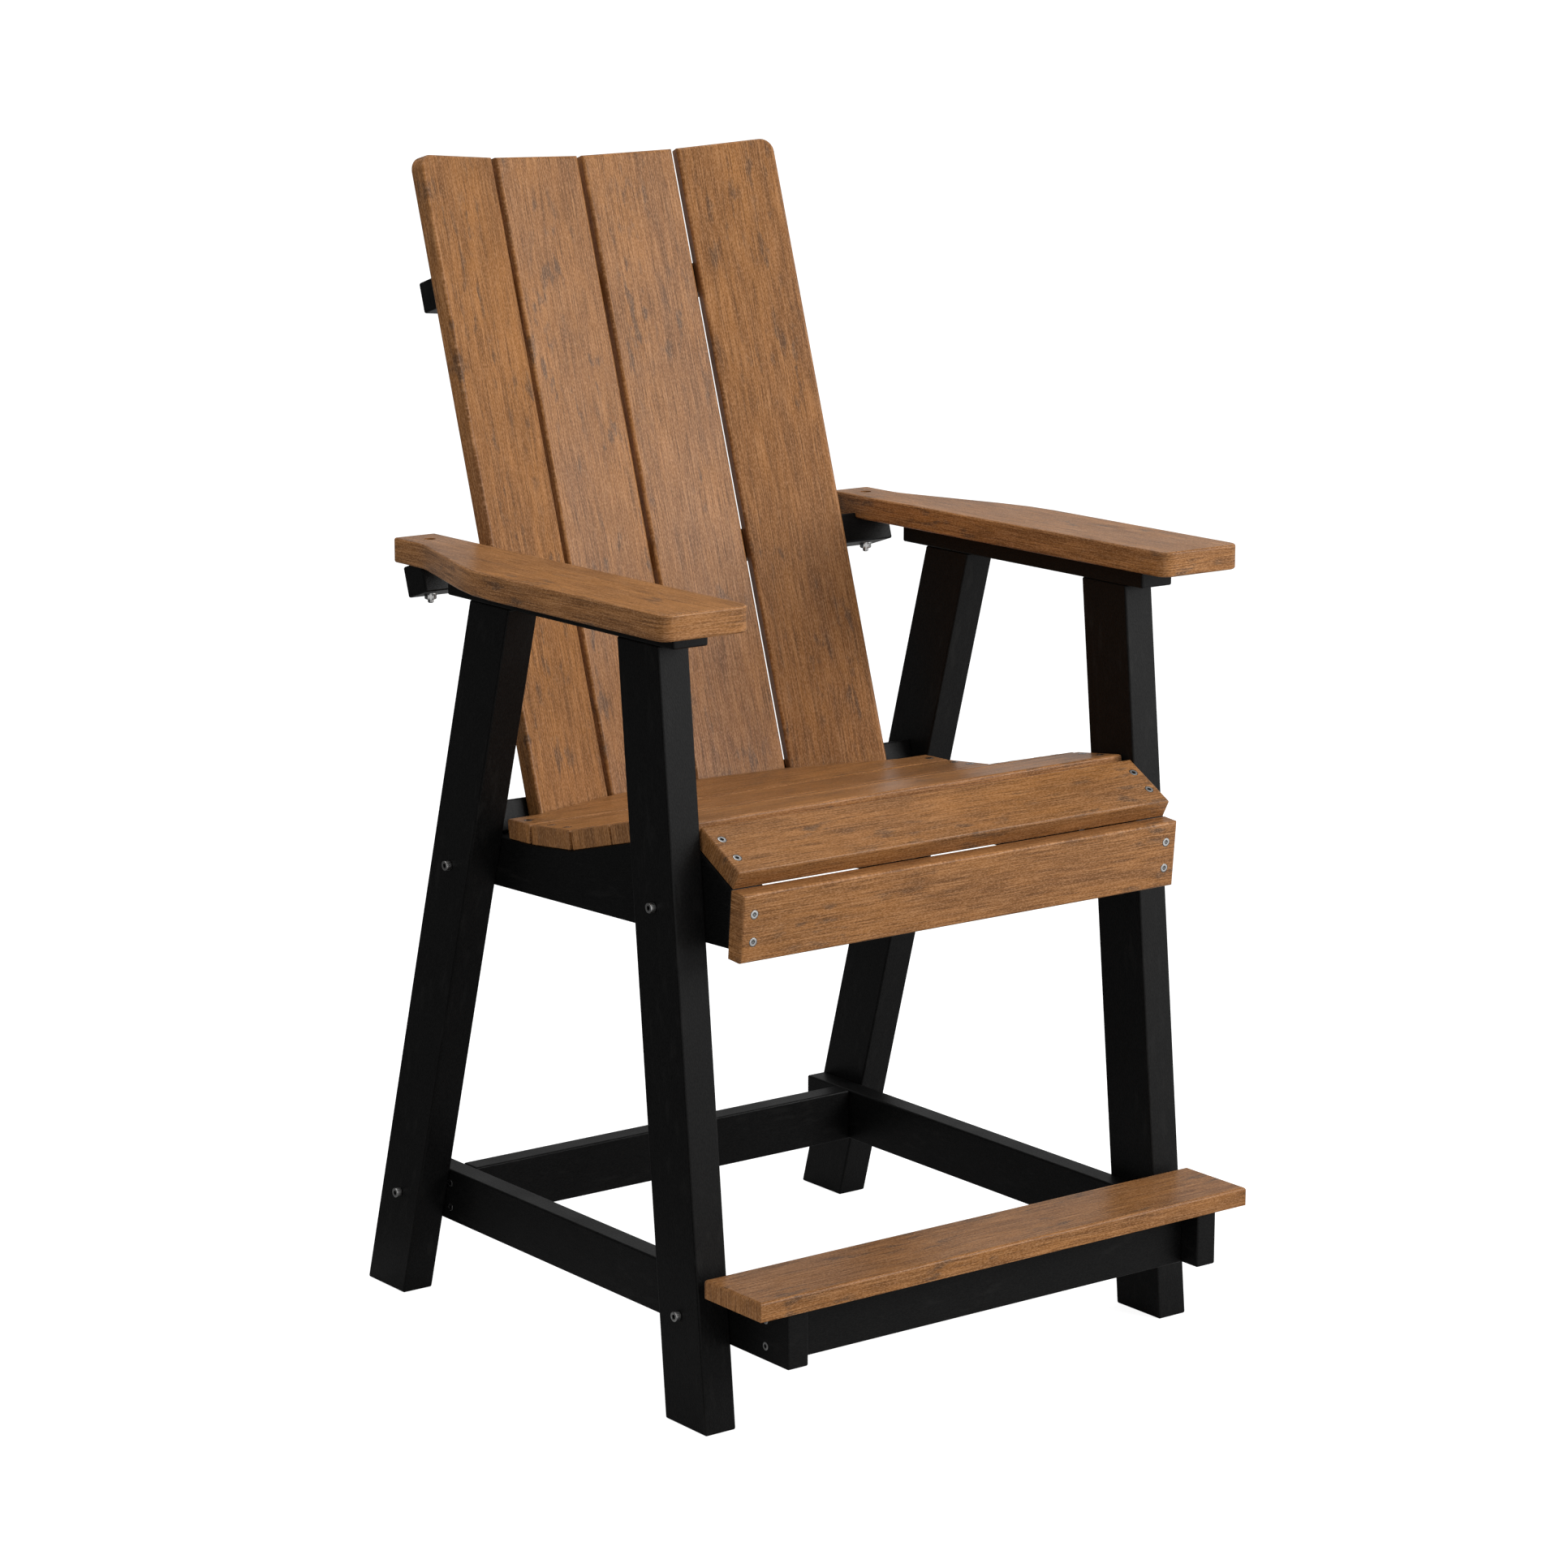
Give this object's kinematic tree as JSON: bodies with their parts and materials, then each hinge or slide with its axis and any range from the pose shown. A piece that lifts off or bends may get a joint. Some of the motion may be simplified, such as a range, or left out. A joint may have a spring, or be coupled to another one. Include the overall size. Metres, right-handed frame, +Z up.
{
  "type": "counter chair",
  "caption": "Counter-height garden armchair of plastic-lumber boards: contoured slatted back, dished slat seat, flared arms, A-frame legs and a footrest board.",
  "frame": {"origin": "centre of the bounding box in plan, on the floor", "axes": "+Z up, -Y the way the sitter faces, +X to the right seen from the front"},
  "size_m": [0.7386, 0.7738, 1.2196],
  "materials": {
    "brown_board": "satin plastic lumber with a streaked brown wood-grain colour",
    "black_board": "satin black plastic lumber with a faint grain",
    "stainless_steel": "plain stainless steel"
  },
  "bodies": {
    "root": {"back_slat_1": "brown_board", "back_slat_2": "brown_board", "back_slat_3": "brown_board", "back_slat_4": "brown_board", "seat_slat_1": "brown_board", "seat_slat_2": "brown_board", "seat_slat_3": "brown_board", "seat_slat_4": "brown_board", "seat_slat_5": "brown_board", "seat_front_slat": "brown_board", "seat_apron": "brown_board", "footrest_board": "brown_board", "arm_left": "brown_board", "arm_right": "brown_board", "leg_front_left": "black_board", "leg_front_right": "black_board", "leg_rear_left": "black_board", "leg_rear_right": "black_board", "arm_rail_left": "black_board", "arm_rail_right": "black_board", "back_brace_upper": "black_board", "back_brace_arm": "black_board", "back_brace_lower": "black_board", "seat_stringer_left": "black_board", "seat_stringer_centre": "black_board", "seat_stringer_right": "black_board", "side_stretcher_left": "black_board", "side_stretcher_right": "black_board", "cross_stretcher_rear": "black_board", "cross_stretcher_footrest": "black_board", "leg_bolt_front_seat_left": "stainless_steel", "leg_bolt_front_seat_right": "stainless_steel", "leg_bolt_rear_seat_left": "stainless_steel", "leg_bolt_rear_seat_right": "stainless_steel", "leg_bolt_front_stretcher_left": "stainless_steel", "leg_bolt_front_stretcher_right": "stainless_steel", "leg_bolt_rear_stretcher_left": "stainless_steel", "leg_bolt_rear_stretcher_right": "stainless_steel", "leg_nut_front_seat_left": "stainless_steel", "leg_nut_front_seat_right": "stainless_steel", "leg_nut_rear_seat_left": "stainless_steel", "leg_nut_rear_seat_right": "stainless_steel", "leg_nut_front_stretcher_left": "stainless_steel", "leg_nut_front_stretcher_right": "stainless_steel", "leg_nut_rear_stretcher_left": "stainless_steel", "leg_nut_rear_stretcher_right": "stainless_steel", "arm_bolt_left": "stainless_steel", "arm_bolt_right": "stainless_steel", "arm_washer_left": "stainless_steel", "arm_washer_right": "stainless_steel", "arm_nut_left": "stainless_steel", "arm_nut_right": "stainless_steel"}
  },
  "joints": []
}
